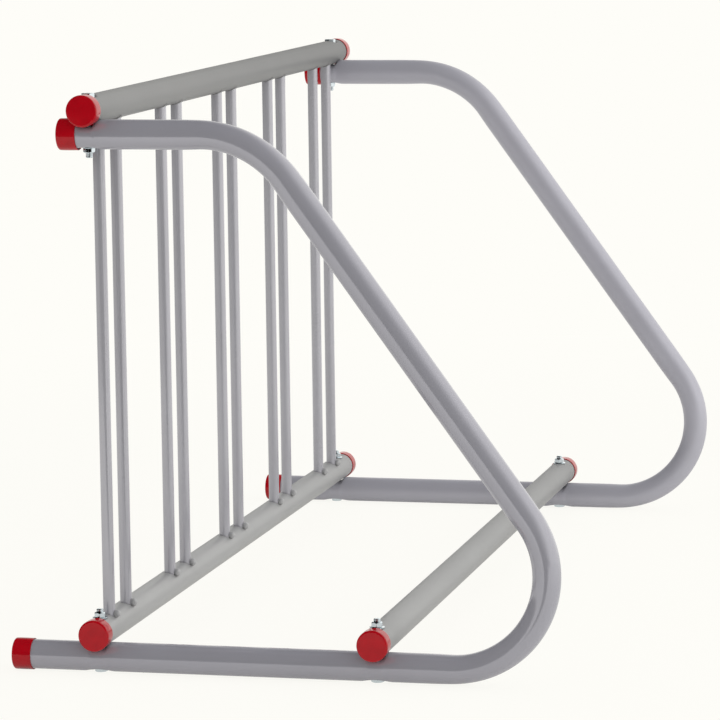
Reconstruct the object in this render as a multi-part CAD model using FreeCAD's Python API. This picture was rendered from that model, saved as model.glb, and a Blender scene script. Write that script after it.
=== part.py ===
# Hoop bike rack: two bent-tube hoops, three cross rails bolted across them, and five
# pairs of upright bars that hold a wheel each. Millimetres, +Z up.
# +X runs along the rails and -Y is the front, where the wheels roll in.
# The origin is under the middle of the rack, on the ground.

import FreeCAD, Part
import math
import os

Vector = FreeCAD.Vector

# Tube of the hoops and rails
tube_outer = 42.4
tube_wall = 2.6

# Hoop, measured along the middle of its tube
hoop_height = 750.5
floor_bend_radius = 136.5
top_bend_radius = 154.5
slope_angle = 54.2
floor_run_behind_grid = 126.8
floor_run_ahead_of_grid = 515.0
top_run_behind_grid = 41.5

# Where the rails lie
hoop_spacing = 1431.5
rail_left_overhang = 34.0
rail_right_overhang = 56.0
front_rail_ahead_of_grid = 408.0
floor_saddle_depth = 6.3
top_saddle_depth = 7.8

# Upright bars, in pairs that each make one wheel slot
bar_outer = 17.2
bar_wall = 2.0
slot_count = 5
slot_bar_spacing = 85.1
first_slot_less = 2.0
last_slot_extra = 9.7
left_hoop_to_first_slot = 71.5
last_slot_to_right_hoop = 103.8
bars_ahead_of_rail = 4.6

# Push-on end caps
cap_wall = 1.4
cap_end_wall = 1.5
rail_cap_length = 22.5
hoop_cap_length = 28.5
cap_edge_radius = 2.8

# Bolts and flange nuts
bolt_diameter = 10.0
bolt_hole = 11.0
bolt_length = 85.0
bolt_tip_chamfer = 1.0
head_across_flats = 17.0
head_height = 6.4
nut_across_flats = 15.0
nut_height = 8.8
nut_flange_diameter = 21.4
nut_flange_edge = 1.6
nut_flange_rise = 3.4
hexagon_chamfer_angle = 30.0
nut_turn_angle = 17.0

# Seats that the tightened bolts and nuts press into the tubes, measured from the crown.
# Their sides spread out this much for each millimetre of height.
floor_head_seat = 5.9
top_head_seat = 4.0
floor_nut_seat = 1.2
top_nut_seat = 4.0
seat_spread = 1.6
seat_margin = 0.7

# Welds: a bead in front of each bar's foot, and a fine ring round each bar's head
foot_weld_radius = 5.8
foot_weld_ahead_of_bar = 2.8
foot_weld_above_rail = 4.8
head_weld_size = 1.3

# Clearances
fit_gap = 0.1
weld_gap = 0.02

tube_radius = tube_outer / 2
bore_radius = tube_radius - tube_wall
bar_radius = bar_outer / 2
cap_bore_radius = tube_radius + fit_gap
cap_radius = cap_bore_radius + cap_wall
head_seat_radius = head_across_flats / math.sqrt(3) + seat_margin
nut_seat_radius = nut_flange_diameter / 2 + seat_margin

# Heights of the tube middles. The caps at the hoops' ends touch the ground.
floor_run_z = cap_radius
top_run_z = floor_run_z + hoop_height
floor_rail_z = floor_run_z + tube_outer - floor_saddle_depth
top_rail_z = top_run_z + tube_outer - top_saddle_depth

# Depths, with the origin halfway between the front of the bend and the rear cap
front_reach = floor_run_ahead_of_grid + floor_bend_radius + tube_radius
rear_reach = floor_run_behind_grid + cap_end_wall
grid_y = (front_reach - rear_reach) / 2
front_rail_y = grid_y - front_rail_ahead_of_grid
bars_y = grid_y - bars_ahead_of_rail

# Places along the rails, with the origin halfway along them
rail_length = hoop_spacing + rail_left_overhang + rail_right_overhang
rail_left_x = -rail_length / 2
rail_right_x = rail_length / 2
hoop_left_x = rail_left_x + rail_left_overhang
hoop_right_x = rail_right_x - rail_right_overhang
first_slot_x = hoop_left_x + left_hoop_to_first_slot
last_slot_x = hoop_right_x - last_slot_to_right_hoop
slot_pitch = (last_slot_x - first_slot_x) / (slot_count - 1)

ALONG_X = Vector(1, 0, 0)
ALONG_Y = Vector(0, 1, 0)
UP = Vector(0, 0, 1)
DOWN = Vector(0, 0, -1)


def save(shape, node):
    """Write one sub-part to its own file."""
    shape.exportStep(os.path.join("parts", node + ".step"))


def rod(radius, start, direction, length):
    """A plain round bar from a start point along a direction."""
    return Part.makeCylinder(radius, length, start, direction)


def heading(angle):
    """The unit vector of a heading in a hoop's plane, up from +Y by an angle in degrees."""
    turn = math.radians(angle)
    return Vector(0, math.cos(turn), math.sin(turn))


def bent_piece(radius, start, direction, middle, angle):
    """A round section swung from its start, along a direction, about a bend's middle."""
    section = Part.Face(Part.Wire([Part.makeCircle(radius, start, direction)]))
    return section.revolve(middle, ALONG_X * -1, angle)


def hoop_shape(x, radius):
    """A hoop of one radius: floor run, floor bend, slope, top bend and top run, end to end."""
    floor_end = Vector(x, grid_y + floor_run_behind_grid, floor_run_z)
    floor_bend_start = Vector(x, grid_y - floor_run_ahead_of_grid, floor_run_z)
    floor_bend_middle = floor_bend_start + UP * floor_bend_radius
    floor_bend_end = floor_bend_middle + heading(slope_angle + 90) * floor_bend_radius
    top_end = Vector(x, grid_y + top_run_behind_grid, top_run_z)
    floor_bend_drop = floor_bend_radius * (1 + math.cos(math.radians(slope_angle)))
    top_bend_drop = top_bend_radius * (1 - math.cos(math.radians(slope_angle)))
    slope_rise = hoop_height - floor_bend_drop - top_bend_drop
    slope_length = slope_rise / math.sin(math.radians(slope_angle))
    top_bend_start = floor_bend_end + heading(slope_angle) * slope_length
    top_bend_middle = top_bend_start - heading(slope_angle + 90) * top_bend_radius
    top_bend_end = top_bend_middle + UP * top_bend_radius
    floor_run = rod(radius, floor_end, ALONG_Y * -1, floor_end.y - floor_bend_start.y)
    floor_bend = bent_piece(radius, floor_bend_start, ALONG_Y, floor_bend_middle, 180 - slope_angle)
    slope = rod(radius, floor_bend_end, heading(slope_angle), slope_length)
    top_bend = bent_piece(radius, top_bend_start, heading(slope_angle), top_bend_middle, slope_angle)
    top_run = rod(radius, top_bend_end, ALONG_Y, top_end.y - top_bend_end.y)
    return floor_run.fuse([floor_bend, slope, top_bend, top_run])


def pressed_seat(radius, depth, crown, outward):
    """Outer and inner cutters of a round seat whose floor lies a depth below a crown."""
    cutters = []
    for skin in (0, tube_wall):
        height = depth + seat_margin + skin
        floor = crown - outward * (depth + skin)
        narrow = radius + skin
        cutters.append(Part.makeCone(narrow, narrow + seat_spread * height, height, floor, outward))
    return cutters


def saddle(middle, direction):
    """Outer and inner cutters of the saddle that a crossing tube presses at its middle."""
    reach = 2 * tube_outer
    start = middle - direction * reach
    outer = rod(tube_radius + fit_gap, start, direction, 2 * reach)
    inner = rod(tube_radius + fit_gap + tube_wall, start, direction, 2 * reach)
    return outer, inner


def pressed_tube(outer, inner, dents, holes):
    """A tube whose wall keeps its thickness where dents push it in, with drilled holes."""
    for outer_cutter, inner_cutter in dents:
        outer = outer.cut(outer_cutter)
        inner = inner.cut(inner_cutter)
    tube = outer.cut(inner)
    for hole in holes:
        tube = tube.cut(hole)
    return tube


def bolt_drill(x, y, z):
    """The hole for one bolt, upright through both walls of a tube at height z."""
    return rod(bolt_hole / 2, Vector(x, y, z - tube_outer), UP, 2 * tube_outer)


def build_hoop(x):
    """One hoop, with a saddle for each rail and a dent for each bolt head or nut."""
    outer = hoop_shape(x, tube_radius)
    inner = hoop_shape(x, bore_radius)
    dents = [saddle(Vector(x, grid_y, top_rail_z), ALONG_X)]
    holes = []
    for y in (grid_y, front_rail_y):
        dents.append(saddle(Vector(x, y, floor_rail_z), ALONG_X))
        underside = Vector(x, y, floor_run_z - tube_radius)
        dents.append(pressed_seat(head_seat_radius, floor_head_seat, underside, DOWN))
        holes.append(bolt_drill(x, y, floor_run_z))
    top_underside = Vector(x, grid_y, top_run_z - tube_radius)
    dents.append(pressed_seat(nut_seat_radius, top_nut_seat, top_underside, DOWN))
    holes.append(bolt_drill(x, grid_y, top_run_z))
    return pressed_tube(outer, inner, dents, holes)


def build_rail(y, z, seat_radius, seat_depth):
    """A straight cross rail, pressed in on top where a nut or a bolt head bears on it."""
    start = Vector(rail_left_x, y, z)
    outer = rod(tube_radius, start, ALONG_X, rail_length)
    inner = rod(bore_radius, start, ALONG_X, rail_length)
    dents = []
    holes = []
    for x in (hoop_left_x, hoop_right_x):
        crown = Vector(x, y, z + tube_radius)
        dents.append(pressed_seat(seat_radius, seat_depth, crown, UP))
        holes.append(bolt_drill(x, y, z))
    return pressed_tube(outer, inner, dents, holes)


def build_bar(x):
    """One upright bar, its ends shaped to the rails it is welded to."""
    start = Vector(x, bars_y, floor_rail_z)
    length = top_rail_z - floor_rail_z
    outer = rod(bar_radius, start, UP, length)
    inner = rod(bar_radius - bar_wall, start, UP, length)
    bar = outer.cut(inner)
    for rail_z in (floor_rail_z, top_rail_z):
        rail = rod(tube_radius + fit_gap, Vector(rail_left_x, grid_y, rail_z), ALONG_X, rail_length)
        bar = bar.cut(rail)
    return bar


def cap_room(end, outward, length):
    """The space that a cap on a tube's end takes up, with a clearance."""
    return rod(cap_radius + fit_gap, end + outward * cap_end_wall, outward * -1, length)


def build_cap(end, outward, length, crossing):
    """A cup pushed over a tube's end, notched where it presses on a crossing tube or cap."""
    inward = outward * -1
    face = end + outward * cap_end_wall
    body = rod(cap_radius, face, inward, length)
    rim = [edge for edge in body.Edges if edge.Closed and edge.BoundBox.Center.isEqual(face, 0.01)]
    body = body.makeFillet(cap_edge_radius, rim)
    bore = rod(cap_bore_radius, end, inward, length)
    cap = body.cut(bore)
    for cutter in crossing:
        cap = cap.cut(cutter)
    return cap


def hexagon(across_flats, height, turn, end):
    """A six-sided prism standing on the origin, its corners rounded off at one end."""
    corner = across_flats / math.sqrt(3)
    points = []
    for step in range(7):
        angle = math.radians(60 * step + turn)
        points.append(Vector(corner * math.sin(angle), corner * math.cos(angle), 0))
    prism = Part.Face(Part.makePolygon(points)).extrude(UP * height)
    spread = height / math.tan(math.radians(hexagon_chamfer_angle))
    narrow = across_flats / 2
    if end == UP:
        cone = Part.makeCone(narrow + spread, narrow, height, Vector(0, 0, 0), UP)
    else:
        cone = Part.makeCone(narrow, narrow + spread, height, Vector(0, 0, 0), UP)
    return prism.common(cone)


def seated(fastener, x, y, seat_z, direction):
    """A fastener moved from the origin to its seat, pointing up or down."""
    if direction == DOWN:
        fastener.rotate(Vector(0, 0, 0), ALONG_X, 180)
    fastener.translate(Vector(x, y, seat_z))
    return fastener


def build_bolt(x, y, seat_z, direction):
    """A hexagon bolt: its head bears at seat_z and its shank points along the direction."""
    head = hexagon(head_across_flats, head_height, 0, DOWN)
    head.translate(DOWN * head_height)
    radius = bolt_diameter / 2
    plain_length = bolt_length - bolt_tip_chamfer
    shank = rod(radius, Vector(0, 0, 0), UP, plain_length)
    tip = Part.makeCone(radius, radius - bolt_tip_chamfer, bolt_tip_chamfer, UP * plain_length, UP)
    bolt = head.fuse([shank, tip]).removeSplitter()
    return seated(bolt, x, y, seat_z, direction)


def build_nut(x, y, seat_z, direction):
    """A flange nut bearing at seat_z, its hexagon standing along the direction."""
    flange_radius = nut_flange_diameter / 2
    slope_height = nut_flange_rise - nut_flange_edge
    flange_edge = rod(flange_radius, Vector(0, 0, 0), UP, nut_flange_edge)
    flange_slope = Part.makeCone(flange_radius, nut_across_flats / 2, slope_height, UP * nut_flange_edge, UP)
    body = hexagon(nut_across_flats, nut_height, nut_turn_angle, UP)
    nut = body.fuse([flange_edge, flange_slope]).removeSplitter()
    nut = nut.cut(rod(bolt_diameter / 2 + fit_gap, Vector(0, 0, 0), UP, nut_height))
    return seated(nut, x, y, seat_z, direction)


def beside_bar_and_rail(weld, x, rail_z):
    """A weld without the room that its bar and its rail take up."""
    bar = rod(bar_radius + weld_gap, Vector(x, bars_y, floor_rail_z), UP, top_rail_z - floor_rail_z)
    rail = rod(tube_radius + weld_gap, Vector(rail_left_x, grid_y, rail_z), ALONG_X, rail_length)
    return weld.cut(bar).cut(rail)


def build_foot_weld(x):
    """The bead in the corner between the front of a bar's foot and the rear floor rail."""
    bead_y = bars_y - bar_radius - foot_weld_ahead_of_bar
    from_rail = tube_radius + foot_weld_above_rail
    bead_z = floor_rail_z + math.sqrt(from_rail ** 2 - (bead_y - grid_y) ** 2)
    bead = Part.makeSphere(foot_weld_radius, Vector(x, bead_y, bead_z))
    return beside_bar_and_rail(bead, x, floor_rail_z)


def build_head_weld(x):
    """The fine ring of weld where a bar's head meets the top rail's underside."""
    reach = tube_radius + head_weld_size
    skin = rod(reach, Vector(x - tube_radius, grid_y, top_rail_z), ALONG_X, tube_outer)
    column = rod(bar_radius + head_weld_size, Vector(x, bars_y, top_rail_z), DOWN, reach)
    return beside_bar_and_rail(skin.common(column), x, top_rail_z)


def bar_places():
    """The X of every bar, from left to right."""
    places = []
    spacings = [slot_bar_spacing] * slot_count
    spacings[0] = slot_bar_spacing - first_slot_less
    spacings[-1] = slot_bar_spacing + last_slot_extra
    for slot, spacing in enumerate(spacings):
        middle = first_slot_x + slot * slot_pitch
        places.append(middle - spacing / 2)
        places.append(middle + spacing / 2)
    return places


os.makedirs("parts", exist_ok=True)

# Hoops and their caps
hoops = {"left": hoop_left_x, "right": hoop_right_x}
rail_ends = {"left": (rail_left_x, ALONG_X * -1), "right": (rail_right_x, ALONG_X)}
for side, x in hoops.items():
    save(build_hoop(x), side + "_hoop")
    floor_end = Vector(x, grid_y + floor_run_behind_grid, floor_run_z)
    top_end = Vector(x, grid_y + top_run_behind_grid, top_run_z)
    end_x, outward = rail_ends[side]
    rail = saddle(Vector(x, grid_y, top_rail_z), ALONG_X)[0]
    rail_cap = cap_room(Vector(end_x, grid_y, top_rail_z), outward, rail_cap_length)
    save(build_cap(floor_end, ALONG_Y, hoop_cap_length, []), side + "_hoop_floor_cap")
    save(build_cap(top_end, ALONG_Y, hoop_cap_length, [rail, rail_cap]), side + "_hoop_top_cap")

# Rails and their caps
rails = {
    "top": (grid_y, top_rail_z, head_seat_radius, top_head_seat, top_run_z),
    "rear_floor": (grid_y, floor_rail_z, nut_seat_radius, floor_nut_seat, floor_run_z),
    "front_floor": (front_rail_y, floor_rail_z, nut_seat_radius, floor_nut_seat, floor_run_z),
}
for name, (y, z, seat_radius, seat_depth, run_z) in rails.items():
    save(build_rail(y, z, seat_radius, seat_depth), name + "_rail")
    for side, (end_x, outward) in rail_ends.items():
        run = saddle(Vector(hoops[side], y, run_z), ALONG_Y)[0]
        cap = build_cap(Vector(end_x, y, z), outward, rail_cap_length, [run])
        save(cap, name + "_rail_" + side + "_cap")

# Upright bars and their welds
bars = bar_places()
for number, x in enumerate(bars, 1):
    save(build_bar(x), "wheel_bar_" + str(number))
save(Part.makeCompound([build_foot_weld(x) for x in bars]), "foot_welds")
save(Part.makeCompound([build_head_weld(x) for x in bars]), "head_welds")

# Bolts and nuts: heads under the floor runs and on top of the top rail
floor_bolts = []
floor_nuts = []
top_bolts = []
top_nuts = []
floor_head_z = floor_run_z - tube_radius + floor_head_seat
floor_nut_z = floor_rail_z + tube_radius - floor_nut_seat
top_head_z = top_rail_z + tube_radius - top_head_seat
top_nut_z = top_run_z - tube_radius + top_nut_seat
for x in hoops.values():
    for y in (grid_y, front_rail_y):
        floor_bolts.append(build_bolt(x, y, floor_head_z, UP))
        floor_nuts.append(build_nut(x, y, floor_nut_z, UP))
    top_bolts.append(build_bolt(x, grid_y, top_head_z, DOWN))
    top_nuts.append(build_nut(x, grid_y, top_nut_z, DOWN))
save(Part.makeCompound(floor_bolts), "floor_bolts")
save(Part.makeCompound(floor_nuts), "floor_nuts")
save(Part.makeCompound(top_bolts), "top_bolts")
save(Part.makeCompound(top_nuts), "top_nuts")
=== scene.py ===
"""Looks of a hoop bike rack: tube hoops, cross rails, wheel bars, welds, caps, bolts, nuts and studio."""

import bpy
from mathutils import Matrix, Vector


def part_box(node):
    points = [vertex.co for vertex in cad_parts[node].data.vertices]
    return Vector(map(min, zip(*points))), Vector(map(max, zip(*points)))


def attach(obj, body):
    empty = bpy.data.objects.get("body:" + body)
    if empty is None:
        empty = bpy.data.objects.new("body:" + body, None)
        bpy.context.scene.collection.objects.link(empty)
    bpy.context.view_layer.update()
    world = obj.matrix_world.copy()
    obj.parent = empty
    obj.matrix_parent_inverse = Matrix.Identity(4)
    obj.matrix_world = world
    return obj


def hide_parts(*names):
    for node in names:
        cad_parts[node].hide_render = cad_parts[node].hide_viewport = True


bl_info = {
    "name": "Hoop bike rack",
    "version": (1, 0, 0),
    "blender": (4, 5, 0),
    "location": "View3D > Sidebar > Bike rack",
    "description": "Builds the surfaces and finishes of a hoop bike rack around its packed frame",
    "category": "Add Mesh",
}

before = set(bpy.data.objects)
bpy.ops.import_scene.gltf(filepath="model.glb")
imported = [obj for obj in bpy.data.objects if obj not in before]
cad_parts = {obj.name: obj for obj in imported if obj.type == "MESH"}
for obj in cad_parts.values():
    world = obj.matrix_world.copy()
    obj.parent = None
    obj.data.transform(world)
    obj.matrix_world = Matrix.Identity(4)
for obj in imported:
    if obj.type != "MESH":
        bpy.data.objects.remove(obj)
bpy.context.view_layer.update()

import math

import bpy
import numpy as np
from bpy.props import FloatProperty, FloatVectorProperty, PointerProperty
from bpy.types import Operator, Panel, PropertyGroup
from mathutils import Matrix, Vector

MM = 0.001
SIDES = ("left", "right")
RAILS = ("top", "rear_floor", "front_floor")
BAR_NODES = ["wheel_bar_%d" % number for number in range(1, 11)]


# Colours and numbers

def linear(hex_colour):
    """The linear red, green and blue of an sRGB hex colour: each channel's sRGB curve undone."""
    channels = np.array([int(hex_colour[place:place + 2], 16) for place in (1, 3, 5)]) / 255
    low = channels / 12.92
    high = ((channels + 0.055) / 1.055) ** 2.4
    return tuple(float(value) for value in np.where(channels <= 0.04045, low, high))


def eased(value):
    """An s-curve from 0 to 1: three times the square less twice the cube."""
    held = np.clip(value, 0, 1)
    return held * held * (3 - 2 * held)


def lesser(first, second, blend):
    """The smaller of two heights, rounded where they cross: the smaller less a quarter of the blend times
    the square of the share of the blend by which their gap falls short of it."""
    near = np.clip(1 - np.abs(first - second) / blend, 0, 1)
    return np.minimum(first, second) - near ** 2 * blend / 4


def greater(first, second, blend):
    """The larger of two heights, rounded where they cross in the same way."""
    return -lesser(-first, -second, blend)


def full_turn(count):
    """Angles evenly round a full turn."""
    return np.linspace(0, 2 * math.pi, count, endpoint=False)


def stations(start, end, coarse, fine, centres, reach):
    """Places along a length: steps of the coarse size, and of the fine size within the reach of a centre.
    Both ends are always among them. A place too close behind another is left out."""
    wide = np.linspace(start, end, max(2, int(math.ceil((end - start) / coarse)) + 1))
    close = [np.arange(centre - reach, centre + reach, fine) for centre in centres]
    places = np.unique(np.concatenate([wide] + close).round(6))
    places = places[(places > start + fine / 2) & (places < end - fine / 2)]
    keep = np.concatenate([[True], np.diff(places) > fine * 0.4])
    return np.concatenate([[start], places[keep], [end]])


# Surfaces to meshes

def shell_faces(rows, columns, joined):
    """Quads between the rings of a wrapped grid. Open rows get a fan to a pole at each end, and joined rows
    close on themselves. The points are numbered as pole, rings, pole, or as rings alone."""
    row, column = np.mgrid[0:rows if joined else rows - 1, 0:columns]
    lead = 0 if joined else 1
    near = lead + row * columns
    far = lead + (row + 1) % rows * columns
    after = (column + 1) % columns
    quads = np.stack([near + column, near + after, far + after, far + column], -1).reshape(-1, 4)
    if joined:
        return quads, np.zeros((0, 3), int)
    ring = np.arange(columns)
    after = (ring + 1) % columns
    last = lead + (rows - 1) * columns
    start_fan = np.stack([np.zeros(columns, int), lead + after, lead + ring], -1)
    end_fan = np.stack([np.full(columns, last + columns), last + ring, last + after], -1)
    return quads, np.concatenate([start_fan, end_fan])


def signed_volume(points, triangles):
    """The volume inside triangles: a sixth of the sum of their triple products, negative if inside out."""
    one, two, three = (points[triangles[:, place]] for place in range(3))
    return float(np.einsum("ij,ij->i", one, np.cross(two, three)).sum()) / 6


def outward_shell(rings, first, joined):
    """Points and faces of one closed shell from rings of shape (rows, columns, 3), faces pointing outward.
    A pole is the middle of its end ring. The faces count the points from the first number."""
    rows, columns = rings.shape[:2]
    points = rings.reshape(-1, 3)
    if not joined:
        points = np.concatenate([rings[0].mean(0)[None], points, rings[-1].mean(0)[None]])
    quads, fans = shell_faces(rows, columns, joined)
    triangles = np.concatenate([quads[:, [0, 1, 2]], quads[:, [0, 2, 3]], fans])
    if signed_volume(points, triangles) < 0:
        quads, fans = quads[:, ::-1], fans[:, ::-1]
    return points, (quads + first).tolist() + (fans + first).tolist()


def new_object(name, data):
    """Puts an object made from its data into the scene."""
    item = bpy.data.objects.new(name, data)
    bpy.context.scene.collection.objects.link(item)
    return item


def rack_piece(name, shells, material, nodes, joined=False, crease=60):
    """Makes one object of closed shells in the rack's frame. It stands for CAD nodes and rides on the rack.
    Edges sharper than the crease angle, in degrees, stay sharp."""
    points, faces = [], []
    for rings in shells:
        shell_points, shell_polygons = outward_shell(rings, sum(map(len, points)), joined)
        points.append(shell_points)
        faces += shell_polygons
    mesh = bpy.data.meshes.new(name)
    mesh.from_pydata(np.concatenate(points), [], faces)
    mesh.validate()
    mesh.shade_smooth()
    mesh.set_sharp_from_angle(angle=math.radians(crease))
    mesh.materials.append(material)
    piece = new_object(name, mesh)
    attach(piece, "root")
    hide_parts(*nodes)


# Node materials

def add_node(tree, kind, settings=None, links=None):
    """Adds a node. Settings fill its sockets or its own fields, and links join its sockets to outputs."""
    node = tree.nodes.new(kind)
    for key, value in (settings or {}).items():
        if isinstance(key, int) or key in node.inputs:
            node.inputs[key].default_value = value
        else:
            setattr(node, key, value)
    for key, output in (links or {}).items():
        tree.links.new(output, node.inputs[key])
    return node


def new_material(name):
    """An empty node material, its tree and its output node."""
    material = bpy.data.materials.new(name)
    material.use_nodes = True
    tree = material.node_tree
    tree.nodes.clear()
    return material, tree, tree.nodes.new("ShaderNodeOutputMaterial")


def powder_coat(name, colour, metallic, left_roughness, right_roughness):
    """Polyester powder coat on steel tube, sprayed and baked: an even satin film with fine metal flake,
    which gives it a silvery gleam, and a very low orange peel with waves 6 mm long. It came out of the
    oven glossier at the rack's left end and duller at its right end, 1.2 m further on."""
    material, tree, output = new_material(name)
    place = add_node(tree, "ShaderNodeTexCoord").outputs["Object"]
    cloud = add_node(tree, "ShaderNodeTexNoise", {"Scale": 1 / (90 * MM), "Detail": 2.0}, {"Vector": place})
    tone = add_node(tree, "ShaderNodeMapRange",
                    {"From Min": 0.3, "From Max": 0.7, "To Min": 0.98, "To Max": 1.02},
                    {"Value": cloud.outputs["Fac"]})
    shade = add_node(tree, "ShaderNodeVectorMath", {"operation": "SCALE", 0: colour},
                     {"Scale": tone.outputs["Result"]})
    peel = add_node(tree, "ShaderNodeTexNoise", {"Scale": 1 / (6 * MM), "Detail": 1.0}, {"Vector": place})
    flake = add_node(tree, "ShaderNodeTexNoise", {"Scale": 1 / (0.8 * MM), "Detail": 0.0}, {"Vector": place})
    axes = add_node(tree, "ShaderNodeSeparateXYZ", {}, {"Vector": place})
    cured = add_node(tree, "ShaderNodeMapRange",
                     {"From Min": -0.6, "From Max": 0.6, "To Min": left_roughness, "To Max": right_roughness},
                     {"Value": axes.outputs["X"]})
    rough = add_node(tree, "ShaderNodeMath", {"operation": "MULTIPLY_ADD", 1: 0.06},
                     {0: flake.outputs["Fac"], 2: cured.outputs["Result"]})
    bump = add_node(tree, "ShaderNodeBump", {"Strength": 0.2, "Distance": 0.01 * MM},
                    {"Height": peel.outputs["Fac"]})
    paint = add_node(tree, "ShaderNodeBsdfPrincipled", {"Metallic": metallic, "IOR": 1.5},
                     {"Base Color": shade.outputs["Vector"], "Roughness": rough.outputs["Value"],
                      "Normal": bump.outputs["Normal"]})
    tree.links.new(paint.outputs["BSDF"], output.inputs["Surface"])
    return material


# Metallic share of each part's coat, and its roughness towards the rack's left and right ends
GLOSSY_COAT, DULL_COAT = (0.25, 0.11, 0.4), (0.1, 0.38, 0.5)
COATS = {"left_hoop": GLOSSY_COAT, "right_hoop": GLOSSY_COAT, "top_rail": DULL_COAT,
         "rear_floor_rail": DULL_COAT, "front_floor_rail": DULL_COAT,
         "foot_weld": (0.2, 0.3, 0.3), "bar": (0.25, 0.11, 0.25)}


def coat_of(part):
    """The powder coat of one part of the rack in its own colour, made only once."""
    name = "powder_coat_" + part
    colour = getattr(bpy.context.scene.rack_finish, part + "_colour")
    return bpy.data.materials.get(name) or powder_coat(name, colour, *COATS[part])


def dipped_vinyl():
    """Red plastisol vinyl, dipped on a mould: glossy and soft, with slow waves 15 mm long in its skin."""
    material, tree, output = new_material("dipped_vinyl_caps")
    place = add_node(tree, "ShaderNodeTexCoord").outputs["Object"]
    wave = add_node(tree, "ShaderNodeTexNoise", {"Scale": 1 / (15 * MM), "Detail": 2.0}, {"Vector": place})
    tone = add_node(tree, "ShaderNodeMapRange",
                    {"From Min": 0.3, "From Max": 0.7, "To Min": 0.92, "To Max": 1.06},
                    {"Value": wave.outputs["Fac"]})
    shade = add_node(tree, "ShaderNodeVectorMath",
                     {"operation": "SCALE", 0: bpy.context.scene.rack_finish.cap_colour},
                     {"Scale": tone.outputs["Result"]})
    scuff = add_node(tree, "ShaderNodeTexNoise", {"Scale": 1 / (2 * MM), "Detail": 3.0}, {"Vector": place})
    rough = add_node(tree, "ShaderNodeMapRange",
                     {"From Min": 0.4, "From Max": 0.7, "To Min": 0.08, "To Max": 0.12},
                     {"Value": scuff.outputs["Fac"]})
    bump = add_node(tree, "ShaderNodeBump", {"Strength": 0.3, "Distance": 0.12 * MM},
                    {"Height": wave.outputs["Fac"]})
    skin = add_node(tree, "ShaderNodeBsdfPrincipled", {"IOR": 1.36},
                    {"Base Color": shade.outputs["Vector"], "Roughness": rough.outputs["Result"],
                     "Normal": bump.outputs["Normal"]})
    tree.links.new(skin.outputs["BSDF"], output.inputs["Surface"])
    return material


def bright_zinc():
    """Steel fasteners with bright zinc plate: a clean metal with a slight blue cast and 1.2 mm clouding."""
    material, tree, output = new_material("bright_zinc_fasteners")
    place = add_node(tree, "ShaderNodeTexCoord").outputs["Object"]
    cloud = add_node(tree, "ShaderNodeTexNoise", {"Scale": 1 / (1.2 * MM), "Detail": 2.0}, {"Vector": place})
    rough = add_node(tree, "ShaderNodeMapRange",
                     {"From Min": 0.35, "From Max": 0.65, "To Min": 0.14, "To Max": 0.26},
                     {"Value": cloud.outputs["Fac"]})
    metal = add_node(tree, "ShaderNodeBsdfPrincipled",
                     {"Base Color": (*bpy.context.scene.rack_finish.zinc_colour, 1), "Metallic": 1.0},
                     {"Roughness": rough.outputs["Result"]})
    tree.links.new(metal.outputs["BSDF"], output.inputs["Surface"])
    return material


# Sizes and colours that a user would change

def length_setting(name, description, size):
    """A length that a user can set, from its usual size in millimetres."""
    return FloatProperty(name=name, description=description, default=size * MM, unit="LENGTH")


def colour_setting(name, description, hex_colour):
    """A colour that a user can set, from its usual sRGB hex colour."""
    return FloatVectorProperty(name=name, description=description, default=linear(hex_colour),
                               subtype="COLOR")


class RackTubes(PropertyGroup):
    """Sizes of the hoops, rails and bars."""
    tube_diameter: length_setting("Tube diameter", "Hoops and rails, across the outside", 42.4)
    bar_diameter: length_setting("Bar diameter", "Upright bars, across the outside", 17.2)
    floor_bend: length_setting("Floor bend", "Radius of a hoop's lower bend, to the tube's middle", 136.5)
    top_bend: length_setting("Top bend", "Radius of a hoop's upper bend, to the tube's middle", 154.5)
    slope: FloatProperty(name="Slope", description="Angle of a hoop's long slope above the floor",
                         default=math.radians(54.2), subtype="ANGLE")
    flattening: FloatProperty(name="Flattening", description="Share of its width that a tube loses in a bend",
                              default=0.05, subtype="FACTOR")
    dimple_reach: length_setting("Dimple reach", "Length over which a saddle rises to the plain tube", 12)


class RackCaps(PropertyGroup):
    """Sizes of the push-on caps."""
    wall: length_setting("Wall", "Thickness of a cap's skin", 1.5)
    edge_radius: length_setting("Edge radius", "Rounding between a cap's face and side", 2.8)


class RackFasteners(PropertyGroup):
    """Sizes of the bolts and flange nuts."""
    thread_diameter: length_setting("Thread diameter", "Across the thread's crests", 10)
    thread_pitch: length_setting("Thread pitch", "From crest to crest", 1.5)
    bolt_length: length_setting("Bolt length", "From under the head to the tip", 85)
    head_width: length_setting("Head width", "Across a bolt head's flats", 17)
    head_height: length_setting("Head height", "Height of a bolt head", 6.4)
    nut_width: length_setting("Nut width", "Across a nut's flats", 15)
    nut_height: length_setting("Nut height", "Height of a flange nut", 8.8)
    flange_diameter: length_setting("Flange diameter", "Across a nut's round flange", 21.4)


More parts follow.
